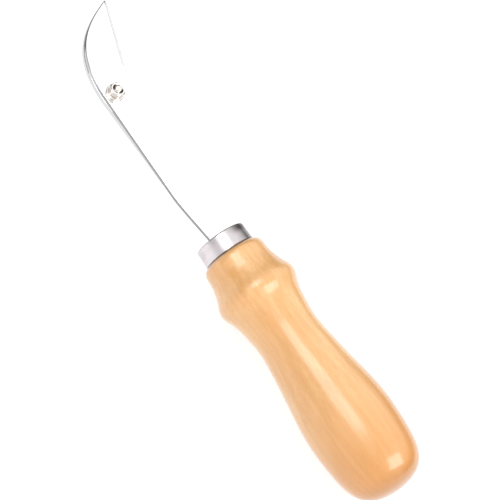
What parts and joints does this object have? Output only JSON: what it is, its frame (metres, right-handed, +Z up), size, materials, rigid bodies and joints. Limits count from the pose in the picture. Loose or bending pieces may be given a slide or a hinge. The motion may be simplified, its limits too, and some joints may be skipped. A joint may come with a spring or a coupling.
{
  "type": "skiving knife",
  "caption": "Leather skiving knife: turned wooden handle, steel ferrule, and a flat hooked holder whose clamp plate, screw and nut pinch a thin replaceable blade.",
  "frame": {"origin": "middle of the footprint, on the surface that the handle's bulb rests on", "axes": "+X along the handle towards its butt, +Y towards the side of the cutting edge, +Z up out of the face that carries the nut"},
  "size_m": [0.1936, 0.036, 0.0304],
  "materials": {
    "lacquered_wood": "pale fine-grained hardwood under clear gloss lacquer",
    "satin_steel": "satin, with fine turning lines round it",
    "polished_steel": "mirror polished, with faint polishing lines",
    "blade_steel": "ground and honed",
    "plated_hardware": "bright plating with a warm tint"
  },
  "bodies": {
    "knife": {"wood_handle": "lacquered_wood", "ferrule": "satin_steel", "blade_holder": "polished_steel", "clamp_washer": "plated_hardware"},
    "nut": {"clamp_nut": "plated_hardware"},
    "clamp": {"clamp_plate": "polished_steel", "clamp_screw": "plated_hardware"},
    "blade": {"skiving_blade": "blade_steel"}
  },
  "joints": [
    {"name": "clamp_open", "type": "slide", "parent": "knife", "child": "clamp", "axis": [0, 0, -1], "range_m": [0, 0.0009]},
    {"name": "nut_turn", "type": "hinge", "parent": "knife", "child": "nut", "pos_m": [-0.0638, -0.00389, 0.01756], "axis": [0, 0, 1], "range_deg": [0, 720]},
    {"name": "blade_slide", "type": "slide", "parent": "knife", "child": "blade", "axis": [0.3841, 0.9233, 0], "range_m": [0, 0.012]}
  ],
  "couplings": [
    {"joint": "nut_turn", "follows": "clamp_open", "rad_per_m": 13962}
  ]
}
